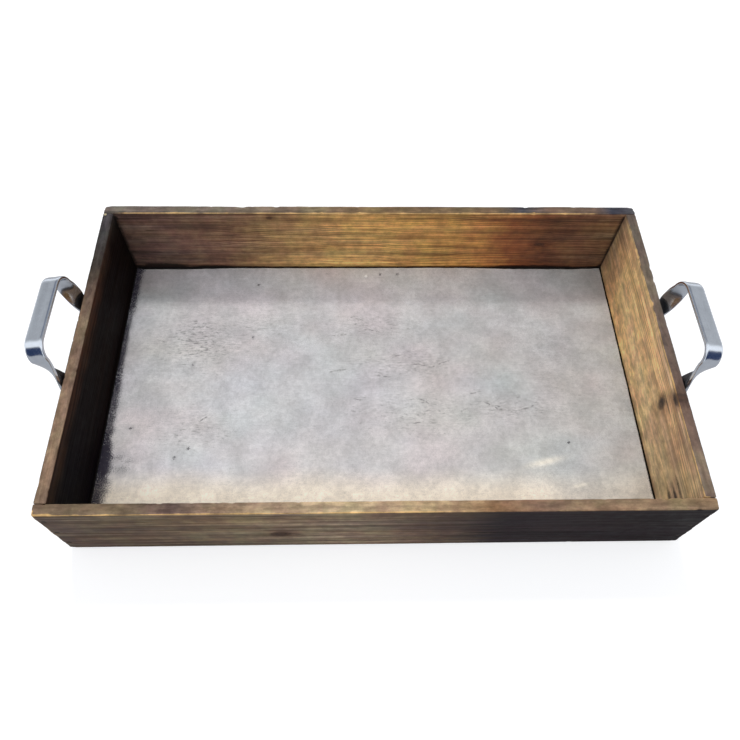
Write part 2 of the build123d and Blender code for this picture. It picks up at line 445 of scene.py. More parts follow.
def plywood(name):
    """Thin birch ply: pale veneer below, glue lines at the edge, and a near-black hidden top: dirt, and
    painted shade in the gap.
    """
    shader = Shader(name, Specular_IOR_Level=0.3)
    times, spread = shader.times, shader.spread
    fibres = shader.noise((30, 0.6, 0.6), 4.0, 0.6)
    cloud = shader.noise((70, 14, 14), 4.0, distortion=0.5)
    value = times(spread(fibres, 0.25, 0.75, 0.78, 1.12), spread(cloud, 0.25, 0.75, 0.72, 1.15))
    height = shader.add("ShaderNodeSeparateXYZ", {0: shader.place((1, 1, 1))}).outputs["Z"]
    ply = shader.math("PINGPONG", height, PLY * MM)
    core = spread(ply, 0.85 * MM, 1.15 * MM, 1.0, 0.62)
    colour = shader.shade(BIRCH, times(value, core))
    # Painted shade, with dirt: the top of the panel, seen only in the gap by the boards, is near black.
    top = spread(height, (PANEL_TOP - 0.3) * MM, (PANEL_TOP - 0.05) * MM)
    colour = shader.mix(top, colour, PANEL_DIRT_AND_SHADE)
    return shader.finish(colour, 0.75, shader.relief(fibres, depth=0.15, strength=0.6))


# ---- Boards ----
BOARD_STEPS = (2.0 * MM, 0.8 * MM, 1.5 * MM)  # mesh size along, through and up a board
DIMPLE_DEPTH, DIMPLE_REACH = 0.55 * MM, 2.6 * MM  # round each nail's head
CRACK_DEPTH, CRACK_WIDTH = 0.5 * MM, 0.8 * MM


class Board:
    """One upright board in its own frame: u along it, v toward its outer face, w upward."""

    def __init__(
        self, node, side_axis, seed, shine, pith, ring_width, knots, cracks, colours, chips, rubbed, stains,
        dashed,
    ):
        low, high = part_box(node)
        self.node, self.seed, self.shine = node, seed, shine
        self.pith, self.ring_width = in_mm([pith], 2)[0], ring_width * MM
        self.knots, self.cracks = in_mm(knots, 4), in_mm(cracks, 3)
        self.chips, self.stains, self.dashed = in_mm(chips, 3), in_mm(stains, 4), in_mm(dashed, 1)
        self.rubbed = {face: in_mm(stops, 1) for face, stops in rubbed.items()}
        self.colours = {
            face: [(place * MM, linear(*colour)) for place, *colour in stops]
            for face, stops in colours.items()
        }
        self.centre = np.array((low + high) / 2)
        size = np.array(high - low)
        self.grain_axis = 1 - side_axis
        side = math.copysign(1.0, self.centre[side_axis])
        self.axes = np.zeros((3, 3))
        self.axes[0, self.grain_axis] = 1
        self.axes[1, side_axis] = side
        self.axes[2, 2] = 1
        self.half = np.abs(self.axes @ size) / 2

    def nails(self):
        """Nail heads in the outer face, and those in the lower edge, in the board's own frame."""
        start = self.node.split("_")[0] + "_"
        return [
            [
                self.axes @ (head - self.centre)
                for name in frame["nodes"] if name.startswith(start) and name.endswith(ending)
                for head in heads_of(name)
            ]
            for ending in ("_corner_nails", "_panel_nails")
        ]

    def build(self):
        hu, hv, hw = self.half
        across, below = self.nails()
        fine_u = [(side * hu, 3 * MM, 0.5 * MM) for side in (-1, 1)]
        fine_u += [(p[0], 3 * MM, 0.6 * MM) for p in across[:1] + across[-1:] + below]
        fine_u += [(u, reach, 0.9 * MM) for u, reach, depth, side in self.chips]
        fine_w = [(hw, 2.5 * MM, 0.35 * MM), (-hw, 0.8 * MM, 0.4 * MM)]
        fine_w += [(p[2], 2.5 * MM, 0.6 * MM) for p in across[:3]]
        fine_v = [(side * hv, 2 * MM, 0.35 * MM) for side in (-1, 1)]
        lines = [
            spaced(-half, half, step, fine)
            for half, step, fine in zip(self.half, BOARD_STEPS, (fine_u, fine_v, fine_w))
        ]
        sharp, quads = box_grid(lines)
        if np.linalg.det(self.axes) < 0:
            quads = quads[:, ::-1]
        rounded, wear = self.round_edges(sharp)
        points = self.weather(sharp, rounded, across, below)
        fields = self.fields(points, wear, across)
        world = self.centre + points @ self.axes
        return mesh_piece(self.node + "_wood", world, quads, fields)

    def round_edges(self, p):
        """The sharp box with worn, uneven arrises. Returns the points and how worn each is."""
        hu, hv, hw = self.half
        u, v, w = p.T
        line = np.stack([u, np.zeros_like(u), np.zeros_like(u)], axis=1)
        top = smooth(hw - 8 * MM, hw - 2 * MM, w)
        outer = 0.5 * (1 + np.tanh(v / (1.2 * MM)))
        slow = fractal(line + [0, 0.011, 0], 45, self.seed)
        quick = fractal(line + [0, 0.003, 0], 7, self.seed + 7)
        slow_inner = fractal(line + [0, 0.093, 0], 38, self.seed + 3)
        quick_inner = fractal(line + [0, 0.054, 0], 6, self.seed + 9)
        uneven = outer * (slow + 0.5 * quick) + (1 - outer) * (slow_inner + 0.5 * quick_inner)
        radius = 0.45 * MM + top * np.clip(0.75 + 0.75 * uneven, 0.15, 2.2) * MM
        nick = np.clip(outer * quick + (1 - outer) * quick_inner - 0.42, 0, None)
        radius += top * nick * 5 * MM
        stand = smooth(hu - 7 * MM, hu - 2 * MM, np.abs(u))
        upright = np.stack([np.sign(u), np.sign(v), w], axis=1)
        ragged = fractal(upright * [5, 5, 1], (1000, 1000, 11), self.seed + 5)
        if self.grain_axis == 0:
            radius += stand * outer * np.clip(1.2 + 0.9 * ragged, 0.2, 2.4) * MM
        for place, reach, depth, side in self.chips:
            hit = bump(u, place, reach) * top * (outer if side > 0 else 1 - outer)
            radius += hit * depth * (1 + 0.5 * quick)
        radius = np.clip(radius, 0.2 * MM, 0.9 * hv)
        core = np.clip(p, -self.half + radius[:, None], self.half - radius[:, None])
        way = p - core
        length = np.linalg.norm(way, axis=1)
        moved = core + way / np.maximum(length, TINY)[:, None] * radius[:, None]
        moved[length < TINY] = p[length < TINY]
        gap = self.half - np.abs(p)
        second = np.sort(gap, axis=1)[:, 1]
        wear = 1 - smooth(0.2 * MM, 0.8 * radius + 0.8 * MM, second)
        wear = wear * (0.85 + 0.35 * uneven)
        rubbed = np.where(v > 0, along(u, self.rubbed["outer"]), along(u, self.rubbed["inner"]))
        return moved, wear * np.where(w > 0, rubbed, 0.35)

    def weather(self, sharp, p, across, below):
        """Presses the surface inward: hollows, tool marks, raised grain and nail dimples."""
        hu, hv, hw = self.half
        normal = np.sign(sharp) * (np.abs(sharp) >= self.half - 1e-7)
        normal /= np.maximum(np.linalg.norm(normal, axis=1), 1)[:, None]
        u, v, w = p.T
        hollow = 0.14 + 0.10 * fractal(p, (90, 30, 24), self.seed + 11)
        marks = 0.05 * fractal(p, (5, 5, 3.5), self.seed + 13)
        ring = self.ring(p)
        grain = 0.05 * (0.5 - 0.5 * np.cos(2 * np.pi * ring))
        dents = np.clip(noise(p, (9, 9, 6), self.seed + 17) - 0.62, 0, None)
        depth = np.clip(hollow + marks + grain + 1.0 * dents, 0.01, 1.2) * MM
        for heads, face, other in ((across, v > 0, 2), (below, w < 0, 1)):
            for head in heads:
                near = np.hypot(u - head[0], p[:, other] - head[other])
                dimple = depth + (DIMPLE_DEPTH - depth) * bump(near, 0, DIMPLE_REACH)
                depth = np.where(face, dimple, depth)
        for start, end, height, slope, side in self.cracks:
            off = w - (height + slope * (u - start))
            run = smooth(start, start + 9 * MM, u) * (1 - smooth(end - 9 * MM, end, u))
            depth += np.where(v * side > 0, run * bump(off, 0, CRACK_WIDTH) * CRACK_DEPTH, 0)
        return p - normal * depth[:, None]

    def flow(self, p):
        """Points with the grain lines bent round each knot."""
        bent = p.copy()
        for place, height, long, wide in self.knots:
            off = p[:, 2] - height
            reach = bump(p[:, 0], place, 4.5 * long) * np.exp(-np.abs(off) / (4.0 * wide))
            bent[:, 2] -= reach * 1.25 * wide * off / np.sqrt(off**2 + (0.4 * wide) ** 2)
        return bent

    def ring(self, p):
        """Growth-ring number at each point: its distance from the tree's middle, in rings."""
        q = self.flow(p)
        off_v, off_w, slope_v, slope_w = self.pith
        bend = fractal(q * [1, 0, 0], 130, self.seed + 19) * 5 * MM
        ripple = fractal(q, (60, 9, 9), self.seed + 23) * 1.1 * MM
        away_v = q[:, 1] - off_v - slope_v * q[:, 0] + bend
        away_w = q[:, 2] - off_w - slope_w * q[:, 0] - bend
        return (np.hypot(away_v, away_w) + ripple) / self.ring_width

    def figure(self, p):
        """How strongly the grain shows: it fades in places, and lower down on the bleached board."""
        patches = fractal(p, (60, 30, 14), self.seed + 41)
        shown = np.clip(0.85 + 0.55 * patches, 0.25, 1.2)
        if self.node == "right_board":
            shown *= 0.2 + 0.8 * smooth(-4 * MM, 26 * MM, p[:, 2])
        return shown

    def fields(self, p, wear, across):
        hu, hv, hw = self.half
        u, v, w = p.T
        knot = np.full(len(p), FAR)
        for place, height, long, wide in self.knots:
            knot = np.minimum(knot, np.hypot((u - place) / long, (w - height) / wide))
        crack, crack_depth = np.full(len(p), FAR), np.zeros(len(p))
        for start, end, height, slope, side in self.cracks:
            line = height + slope * (u - start) + 0.6 * MM * noise(p * [1, 0, 0], 12, 5)
            off = (w - line) / MM
            run = smooth(start, start + 15 * MM, u) * (1 - smooth(end - 15 * MM, end, u))
            nearer = (np.abs(off) < np.abs(crack)) & (v * side > 0) & (run > 0)
            crack, crack_depth = np.where(nearer, off, crack), np.where(nearer, run, crack_depth)
        drift = u + 22 * MM * fractal(p, (200, 3.5, 3.5), self.seed + 43)
        inner, outer = along(drift, self.colours["inner"]), along(drift, self.colours["outer"])
        tint = np.where((v < 0)[:, None], inner, outer)
        # Painted light: where an upper inner colour is given, the inner face turns to it toward its top.
        if "inner_top_painted_light" in self.colours:
            uneven_w = w + 4 * MM * noise(p, 14, 3)
            fade = np.where(v < 0, smooth(hw - 22 * MM, hw - 2 * MM, uneven_w), 0)
            tint = blend(tint, along(u, self.colours["inner_top_painted_light"]), fade)
        upper = smooth(hw - 1.6 * MM, hw - 0.5 * MM, w)
        tint = blend(tint, along(u, self.colours["top"]), upper)
        patches = fractal(p, (75, 40, 16), self.seed + 29)
        bands = fractal(p, (160, 4, 4), self.seed + 31)
        tint = tint * (1 + 0.22 * patches + 0.30 * bands)[:, None]
        warm = 0.10 * fractal(p, (120, 9, 9), self.seed + 37)
        tint = tint * np.stack([1 + warm, np.ones_like(warm), 1 - 1.6 * warm], axis=1)
        # Painted shade, with some dirt: the inner faces darken along the floor line and in the inner
        # corners, and the outer faces just above the floor.
        seam = (2.5 if self.node == "right_board" else 5) * MM
        above = w + hw
        floor_line = 1 - np.where(v < 0, smooth(0.8 * MM, seam, above), smooth(0.0, 3 * MM, above))
        full, clear = (9.5 * MM, 15 * MM) if self.grain_axis == 0 else (0.0, 5 * MM)
        inner_corner = np.where(v < 0, 1 - smooth(full, clear, hu - np.abs(u)), 0)
        below_top = 1 - smooth(hw - 5 * MM, hw - 2 * MM, w)
        grime = 0.7 * floor_line + 0.75 * inner_corner * below_top
        for place, height, long, wide, strength, side in self.stains:
            near = np.hypot((u - place) / long, (w - height) / wide)
            grime = np.where(v * side > 0, np.maximum(grime, strength * bump(near, 0, 1)), grime)
        # Painted shade: a dark line along the outer top arris of the end boards.
        if self.grain_axis == 1:
            line = (1 - smooth(0.5 * MM, 1.5 * MM, np.hypot(v - hv, w - hw))) * (w > 0)
            grime = np.maximum(grime, 0.9 * line)
        for place in across:
            near = np.hypot(u - place[0], w - place[2])
            halo = 0.75 * (1 - smooth(1.2 * MM, 3.6 * MM, near))
            grime = np.where(v > 0, np.maximum(grime, halo), grime)
        return dict(
            tint=np.clip(tint, 0.002, 1), ring=self.ring(p), knot=knot, crack=crack, crack_depth=crack_depth,
            wear=wear, grime=grime, grain=(1 - 0.75 * upper) * self.figure(p),
            dashed=along(u, self.dashed) * (1 - upper),
        )


def corners_of(node):
    return np.array([corner.co for corner in frame["nodes"][node].data.vertices])


def heads_of(node):
    """Middle of each nail's head in a node: its lowest or outermost end, grouped by nail."""
    points = corners_of(node)
    if "panel" in node:
        found = points[points[:, 2] < points[:, 2].min() + 0.2 * MM]
    else:
        outermost = np.abs(points[:, 1]).max()
        found = points[np.abs(points[:, 1]) > outermost - 0.2 * MM]
    middles = []
    while len(found):
        near = np.linalg.norm(found - found[0], axis=1) < 4 * MM
        middles.append(found[near].mean(axis=0))
        found = found[~near]
    return sorted(middles, key=lambda m: (round(m[0], 4), round(m[1], 4), m[2]))


# Millimetres, from the board's middle. Colour stops are (place along the board, red, green, blue).
# A knot is (place, height, half length, half width), a crack (start, end, height, slope, side),
# a chip (place, reach, depth, side) and a dark mark (place, height, half length, half width,
# strength, side). Most dark marks are stains; those along the bottom edge of the front board's outer
# face and of the back board's inner face are painted shade. The side is 1 for the outer face and -1
# for the inner face. The pith is the tree's middle: (outward, upward) and how much each changes along
# the board.
BOARDS = {
    "front_board": dict(
        side_axis=1, seed=11, shine=0.10, pith=(-46, -64, 0.008, 0.035), ring_width=2.7,
        knots=[(-77, -9, 10, 6)], cracks=[(60, 190, -12, 0.01, 1)],
        colours={
            "outer": [
                (-254, 114, 96, 82), (-200, 124, 104, 84), (-120, 146, 126, 100), (-20, 164, 142, 116),
                (35, 126, 104, 86), (95, 54, 43, 44), (254, 36, 27, 28),
            ],
            "inner": [(-254, 150, 116, 76), (254, 160, 124, 84)],
            "top": [
                (-254, 112, 95, 78), (-190, 116, 98, 82), (-150, 110, 92, 86), (-120, 152, 130, 106),
                (-30, 182, 158, 130), (50, 172, 146, 118), (85, 138, 104, 80), (130, 140, 116, 94),
                (254, 146, 122, 92),
            ],
        },
        chips=[(-243, 6, 2.2, 1), (-222, 4, 1.2, 1)],
        rubbed={
            "outer": [(-254, 1.7), (30, 1.6), (60, 0.7), (254, 0.65)],
            "inner": [(-254, 0.45), (254, 0.5)],
        },
        # The mark along the bottom of the outer face is painted shade.
        stains=[(-90, -38, 160, 3, 0.5, 1)],
        dashed=[(-254, 0.3), (254, 0.5)],
    ),
    "back_board": dict(
        side_axis=1, seed=23, shine=0.25, pith=(38, -58, -0.006, -0.03), ring_width=2.5,
        knots=[(-99, 34, 3.5, 2), (171, -4, 6, 3)],
        cracks=[(22, 154, 33.5, -0.004, -1), (-176, -120, 8, 0.02, -1)],
        colours={
            "outer": [(-254, 100, 84, 70), (0, 118, 98, 78), (254, 92, 78, 66)],
            "inner": [
                (-254, 104, 86, 78), (-200, 124, 96, 84), (-140, 148, 112, 86), (-95, 186, 148, 100),
                (-20, 228, 182, 112), (60, 226, 174, 100), (110, 204, 146, 84), (140, 166, 104, 62),
                (180, 120, 77, 52), (254, 142, 112, 84),
            ],
            "top": [
                (-254, 112, 104, 98), (-150, 122, 110, 98), (0, 128, 106, 76), (120, 112, 92, 72),
                (145, 66, 66, 76), (172, 112, 92, 76), (215, 110, 90, 74), (232, 60, 62, 74),
                (254, 84, 80, 84),
            ],
        },
        chips=[(-205, 9, 1.1, -1), (90, 14, 0.9, -1)],
        rubbed={
            "outer": [(-254, 0.25), (254, 0.3)],
            "inner": [(-254, 0.4), (-215, 1.4), (-20, 1.9), (180, 1.8), (230, 0.6)],
        },
        # The marks low on the inner face, at heights near -40, are painted shade in the gap above the floor
        # sheet; the rest are stains.
        stains=[
            (-215, -39, 34, 7, 1.2, -1), (-165, -40, 40, 4, 1.0, -1), (170, -40, 60, 4.5, 1.1, -1),
            (-20, -40.5, 90, 2.2, 1.0, -1), (150, 41, 18, 5, 0.6, 1), (236, 41, 14, 5, 0.6, 1),
        ],
        dashed=[(-254, 0.9), (-150, 0.9), (-90, 0.25), (120, 0.15), (165, 0.9), (254, 0.6)],
    ),
    "left_board": dict(
        side_axis=0, seed=37, shine=0.02, pith=(-52, 60, 0.01, 0.03), ring_width=2.8,
        knots=[], cracks=[],
        colours={
            "outer": [(-142, 80, 74, 70), (142, 88, 82, 76)],
            # The near-black inner face is a dark stain with painted shade on it; its top is painted lighter,
            # as painted light.
            "inner": [(-142, 12, 11, 17), (0, 21, 13, 11), (142, 24, 17, 16)],
            "inner_top_painted_light": [(-142, 50, 38, 30), (40, 72, 46, 32), (142, 46, 43, 40)],
            "top": [
                (-142, 134, 116, 98), (-60, 138, 116, 96), (20, 132, 110, 92), (60, 92, 78, 68),
                (80, 62, 53, 50), (110, 64, 60, 58), (142, 74, 70, 70),
            ],
        },
        chips=[(-101, 3, 0.8, -1), (-128, 5, 0.9, 1)],
        rubbed={"outer": [(-142, 0.5), (142, 0.3)], "inner": [(-142, 0.3), (142, 0.1)]},
        stains=[(120, 0, 30, 60, 0.5, -1)],
        dashed=[(-142, 0.3), (142, 0.3)],
    ),
    "right_board": dict(
        side_axis=0, seed=53, shine=0.35, pith=(50, -66, -0.012, 0.05), ring_width=2.9,
        knots=[(-49, 12, 5.5, 9), (-58, 38, 7, 4)],
        cracks=[(-10, 60, 24, 0.02, -1)],
        colours={
            "outer": [(-142, 84, 76, 70), (142, 90, 82, 76)],
            "inner": [
                (-142, 190, 163, 130), (-60, 222, 187, 140), (30, 244, 203, 146), (110, 230, 186, 130),
                (142, 170, 140, 108),
            ],
            "top": [
                (-142, 124, 106, 90), (-60, 112, 92, 80), (0, 116, 100, 88), (60, 122, 106, 92),
                (142, 98, 84, 72),
            ],
        },
        chips=[(30, 12, 0.9, -1)],
        rubbed={"outer": [(-142, 0.3), (142, 0.3)], "inner": [(-142, 1.2), (60, 1.3), (142, 0.7)]},
        stains=[
            (-132, -35, 13, 8, 1.2, -1), (-128, -14, 24, 4.5, 0.80, -1), (-131, -4, 27, 3.5, 0.85, -1),
            (-124, 5, 20, 4, 0.72, -1), (-47, 17, 9, 14, 0.72, -1), (-53, 22, 18, 2, 0.8, -1),
            (-57, 36, 12, 5, 0.75, -1), (-96, 30, 24, 2.5, 0.5, -1),
        ],
        dashed=[(-142, 0.15), (142, 0.15)],
    ),
}


def build_boards():
    for node, looks in BOARDS.items():
        board = Board(node, **looks)
        material = wood(node + "_stained_pine", board.grain_axis, board.shine)
        dress(board.build(), material, "stained_pine", node)


# ---- Floor sheet ----
# Millimetres from the middle of the tray.
WRINKLES = [  # start x, start y, end x, end y, strength
    (-194, 59, -173, 67, 0.7), (-173, 67, -160, 66, 0.8), (-187, 51, -168, 50, 0.5),
    (-182, 34, -166, 37, 0.7), (-160, -38, -151, -32, 1.0), (-181, -50, -174, -51, 0.6),
    (-23, 79, -9, 75, 0.6), (-1, 75, 10, 72, 0.6), (-11, 64, 8, 60, 0.8), (-44, 56, -24, 58, 0.6),
    (17, 33, 28, 33, 0.7), (38, 23, 57, 19, 0.8), (57, 19, 76, 27, 0.8), (-42, 14, -17, 18, 0.9),
    (2, 11, 19, 9, 0.7), (-20, -14, -8, -16, 0.7), (42, -15, 53, -21, 0.8), (-21, -27, -11, -28, 0.5),
    (36, -41, 45, -40, 0.8), (50, -40, 60, -39, 0.6), (79, -29, 88, -25, 0.6),
    (104, -19, 117, -27, 0.9), (117, -27, 131, -30, 0.8), (131, -30, 146, -25, 0.8),
    (146, -25, 154, -18, 0.7), (89, -10, 102, -7, 0.7), (-128, 68, -120, 66, 0.5),
    (-136, -51, -130, -52, 0.5),
]
SPECKS = [
    (-116, 119), (10, 133), (28, 133), (-173, 23), (-117, 54), (-167, -64), (-178, -73), (177, -61),
    (-221, -44),
]
BLOTS = [(-227, -72, 5), (-223, -84, 6), (-217, -76, 4)]  # x, y, reach
SCUFFS = [  # x, y, half length, half width, strength
    (-168, 50, 42, 30, 1.0), (-110, 66, 40, 16, 0.6), (0, 66, 50, 16, 0.6), (30, 22, 60, 20, 0.6),
    (40, -30, 60, 22, 0.6), (130, -25, 40, 12, 0.7), (-165, -45, 35, 22, 0.6), (175, 20, 30, 60, 0.35),
]
PALE_MARKS = [(152, -80, 15, 3.2, 0.22), (181, -102, 6, 1.4, 0.15)]  # x, y, length, width, slope
SHEET_STEP = 1.9 * MM
BACK_GAP = [  # x, how far the back edge stands off its line
    (-243, 0.6), (-236, 1.9), (-190, 1.7), (-147, 0.5), (60, 0.2), (105, 0.4), (150, 1.5), (215, 1.7),
    (243, 0.6),
]
RIGHT_GAP = [(-141, 0.5), (-60, 0.45), (60, 0.2), (141, 0.05)]  # y, the same for the right edge
# The stops that follow are (x, value) along the tray, or (y, value) for the left edge and across it.
# The dark strip along the left edge is the left board's painted shadow over a speckled stain.
LEFT_STAIN_AND_SHADOW_WIDTH = [(-141, 11), (-110, 13), (-85, 13), (-60, 8), (0, 7), (60, 5.5), (100, 7), (141, 8)]
LEFT_STAIN_AND_SHADOW = [(-141, 0.95), (-100, 1.0), (-70, 1.25), (-40, 1.0), (20, 1.0), (70, 0.9), (141, 1.1)]
# Painted light: lightness factors for the sheet along and across the tray.
PAINTED_LIGHT_ALONG = [(-243, 1.26), (-190, 1.24), (-60, 1.10), (20, 1.08), (120, 1.02), (243, 1.0)]
PAINTED_LIGHT_ACROSS = [(-141, 1.12), (-60, 1.05), (0, 1.0), (60, 0.98), (90, 1.02), (110, 1.14), (141, 1.14)]
BACK_SHADE = [(-243, 0.56), (-170, 0.70), (-60, 0.88), (40, 0.96), (150, 0.86), (243, 0.74)]
ZINC, PAINTED_BOUNCE_CREAM = linear(202, 199, 200), linear(255, 244, 227)
PALE_MARK, PAINTED_GLINT_RIM = linear(255, 250, 238), linear(235, 232, 226)


def sheet_height(x, y):
    """How far the sheet stands off the panel: broad buckles and a lifted rim."""
    flat = np.stack([x, y, np.zeros_like(x)], axis=1)
    low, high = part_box("floor_sheet")
    broad = np.clip(fractal(flat, (150, 95, 1000), 71, 2) + 0.25, 0, None) * 0.75 * MM
    small = np.clip(fractal(flat, (34, 15, 1000), 75, 3) + 0.30, 0, None) * 0.16 * MM
    rim_gap = np.minimum(np.minimum(x - low.x, high.x - x), np.minimum(y - low.y, high.y - y))
    lifted = (1 - smooth(0, 2.2 * MM, rim_gap)) * (0.22 + 0.2 * fractal(flat, 14, 79)) * MM
    held = np.ones_like(x)
    for tack in heads_of_tacks():
        held *= 1 - bump(np.hypot(x - tack[0], y - tack[1]), 0, 9 * MM)
    return (broad + small) * held + np.clip(lifted, 0, None)


def heads_of_tacks():
    points = corners_of("floor_sheet_tacks")
    return [points[points[:, 1] * side > 0].mean(axis=0) for side in (-1, 1)]


def build_sheet():
    low, high = (np.array(corner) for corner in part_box("floor_sheet"))
    lines = [
        spaced(start, end, SHEET_STEP, [(edge, 2 * MM, 0.8 * MM) for edge in (start, end)])
        for start, end in zip(low[:2], high[:2])
    ]
    sharp, quads = box_grid([*lines, np.linspace(low[2], high[2], 4)])
    x, y, z = sharp.T
    x_mm, y_mm = x / MM, y / MM
    flat = np.stack([x, y, np.zeros_like(x)], axis=1)
    ragged = 0.35 * np.abs(fractal(flat, 11, 83)) * MM
    back_gap, right_gap = along(x_mm, BACK_GAP) * MM, along(y_mm, RIGHT_GAP) * MM
    new_y = y - (back_gap + ragged) * smooth(high[1] - 30 * MM, high[1], y)
    new_y += ragged * smooth(-low[1] - 20 * MM, -low[1], -y)
    new_x = x - (right_gap + ragged) * smooth(high[0] - 30 * MM, high[0], x)
    new_x += ragged * smooth(-low[0] - 20 * MM, -low[0], -x)
    lift = sheet_height(new_x, new_y)
    points = np.stack([new_x, new_y, z + lift], axis=1)
    crease, crease_depth = np.full(len(x), FAR), np.zeros(len(x))
    for start_x, start_y, end_x, end_y, strength in WRINKLES:
        start, end = np.array([start_x, start_y]) * MM, np.array([end_x, end_y]) * MM
        length = np.linalg.norm(end - start)
        way = (end - start) / length
        off = points[:, :2] - start
        run = off @ way
        side = off[:, 0] * way[1] - off[:, 1] * way[0]
        side = side + 0.7 * MM * np.sin(run / length * np.pi) * (1 if strength > 0.7 else -1)
        fade = smooth(-1.5 * MM, 3 * MM, run) * (1 - smooth(length - 3 * MM, length + 1.5 * MM, run))
        nearer = np.abs(side) < np.minimum(3.2, np.abs(crease)) * MM
        nearer &= fade * strength > 0.01
        crease = np.where(nearer, side / MM, crease)
        crease_depth = np.where(nearer, fade * strength, crease_depth)
        top = z > (low[2] + high[2]) / 2
        swell = bump(side, 2.2 * MM, 2.4 * MM) * fade * strength * 0.22 * MM
        points[:, 2] += np.where(top, swell, 0)
    grime = np.zeros(len(x))
    for place_x, place_y in SPECKS:
        grime = np.maximum(grime, 1.2 * bump(np.hypot(x - place_x * MM, y - place_y * MM), 0, 1.6 * MM))
    # Painted shadow of the left board, with stain: a dark strip along the left edge.
    from_left = x - low[0]
    width = along(y_mm, LEFT_STAIN_AND_SHADOW_WIDTH) * MM
    width = width * (1 + 0.30 * fractal(flat, (400, 9, 1000), 89))
    stain = along(y_mm, LEFT_STAIN_AND_SHADOW) + 0.20 * fractal(flat, (8, 14, 1000), 87)
    grime = np.maximum(grime, stain * (1 - smooth(0.4 * width, 1.5 * width, from_left)))
    for place_x, place_y, reach in BLOTS:
        near = np.hypot((x_mm - place_x) / 1.6, y_mm - place_y)
        grime = np.maximum(grime, 0.55 * bump(near, 0, reach))
    edge_gap = np.minimum(high[0] - x, np.minimum(high[1] - y, y - low[1]))
    # Painted contact shadow, with dirt: a dark line along the right edge, beside the right board.
    grime = np.maximum(grime, (1 - smooth(0.2 * MM, 2.2 * MM, high[0] - x)) * 0.35)

    # Painted light: the sheet is lighter toward the left, the front and the back, following how the light
    # falls.
    painted_light_level = along(x_mm, PAINTED_LIGHT_ALONG) * along(y_mm, PAINTED_LIGHT_ACROSS)
    tint = np.tile(ZINC, (len(x), 1)) * painted_light_level[:, None]
    shaded = (along(x_mm, BACK_SHADE) - 1) * smooth(84 * MM, 112 * MM, y)
    tint = tint * (1 + shaded)[:, None]
    rosy = 0.035 * fractal(flat, (42, 34, 1000), 91) - 0.02 * smooth(40 * MM, 160 * MM, x)
    tint = tint * np.stack([1 + rosy, 1 - 0.5 * rosy, 1 + 0.1 * rosy], axis=1)
    bluish = 0.04 * fractal(flat, (60, 40, 1000), 93)
    tint = tint * np.stack([1 - bluish, np.ones_like(bluish), 1 + bluish], axis=1)
    # Painted bounce light: a warm pale strip along the front of the sheet, where the lit inner face of the
    # front board throws light.
    bounce_light_edge = -93 * MM + 5 * MM * fractal(flat, (55, 400, 1000), 95)
    painted_bounce = (1 - smooth(-18 * MM, 12 * MM, y - bounce_light_edge)) * (1 - 0.55 * smooth(130 * MM, 185 * MM, x))
    tint = blend(tint, PAINTED_BOUNCE_CREAM, painted_bounce)
    for place_x, place_y, long, wide, slope in PALE_MARKS:
        off = y_mm - place_y - slope * (x_mm - place_x)
        tint = blend(tint, PALE_MARK, bump(x_mm, place_x, long) * bump(off, 0, wide))
    # Painted glint: the lifted rim of the sheet is paler at its very edge.
    painted_glint = (1 - smooth(0.3 * MM, 1.3 * MM, edge_gap)) * (0.5 + 0.5 * fractal(flat, 6, 99))
    tint = blend(tint, PAINTED_GLINT_RIM, np.clip(painted_glint, 0, 1))
    scuff = np.zeros(len(x))
    for place_x, place_y, long, wide, strength in SCUFFS:
        near = np.hypot((x_mm - place_x) / long, (y_mm - place_y) / wide)
        scuff = np.maximum(scuff, strength * bump(near, 0, 1))
    tint = np.clip(tint, 0, 1)
    fields = dict(tint=tint, crease=crease, crease_depth=crease_depth, grime=grime, scuff=scuff)
    piece = mesh_piece("floor_sheet_metal", points, quads, fields)
    dress(piece, galvanised("floor_galvanised_sheet"), "galvanised_sheet", "floor_sheet")


# ---- Handles ----
STRAP_WIDTH = 15.0 * MM
STRAP_THICKNESS = 3.0 * MM
SHOULDER = 2.4 * MM  # width of the rounded shoulder along each outer edge
SHOULDER_DROP = 0.8 * MM
BACK_EDGE = 0.45 * MM
WORN_THIN = 0.97  # thickness left by polishing
LEAST_WEAR, UNEVEN_WEAR = 0.13 * MM, 0.07 * MM
LEG_Y = 39.0 * MM  # strap centreline in each foot and leg, from the handle's middle
FOOT_END_BELOW_RIM, BEND_BELOW_RIM = 42.0 * MM, 19.3 * MM
LEAN, LEAN_RADIUS = 10.0, 15.0 * MM
LEAD, TWIST_LENGTH = 8.3 * MM, 33.0 * MM
GRIP_RADIUS = 13.0 * MM


class Strap:
    """Stations along half a handle: place, heading, width direction and outer-face direction."""

    def __init__(self, place, heading, across, face):
        self.place, self.heading, self.across, self.face = map(Vector, (place, heading, across, face))
        self.stations, self.travelled = [], 0.0
        self.mark()

    def mark(self):
        self.stations.append((self.place.copy(), self.across.copy(), self.face.copy(), self.travelled))

    def run(self, length, steps):
        start, began = self.place.copy(), self.travelled
        for share in steps:
            self.place = start + self.heading * (length * share)
            self.travelled = began + length * share
            self.mark()

    def bend(self, toward, radius, degrees, count):
        axis = self.heading.cross(toward).normalized()
        centre = self.place + toward * radius
        step = Matrix.Rotation(math.radians(degrees / count), 3, axis)
        for _ in range(count):
            self.place = centre + step @ (self.place - centre)
            turned = (step @ way for way in (self.heading, self.across, self.face))
            self.heading, self.across, self.face = turned
            self.travelled += radius * math.radians(degrees / count)
            self.mark()

    def twist(self, length, degrees, count):
        start, began = self.place.copy(), self.travelled
        step = Matrix.Rotation(math.radians(degrees / count), 3, self.heading)
        for index in range(1, count + 1):
            self.place = start + self.heading * (length * index / count)
            self.travelled = began + length * index / count
            self.across, self.face = step @ self.across, step @ self.face
            self.mark()


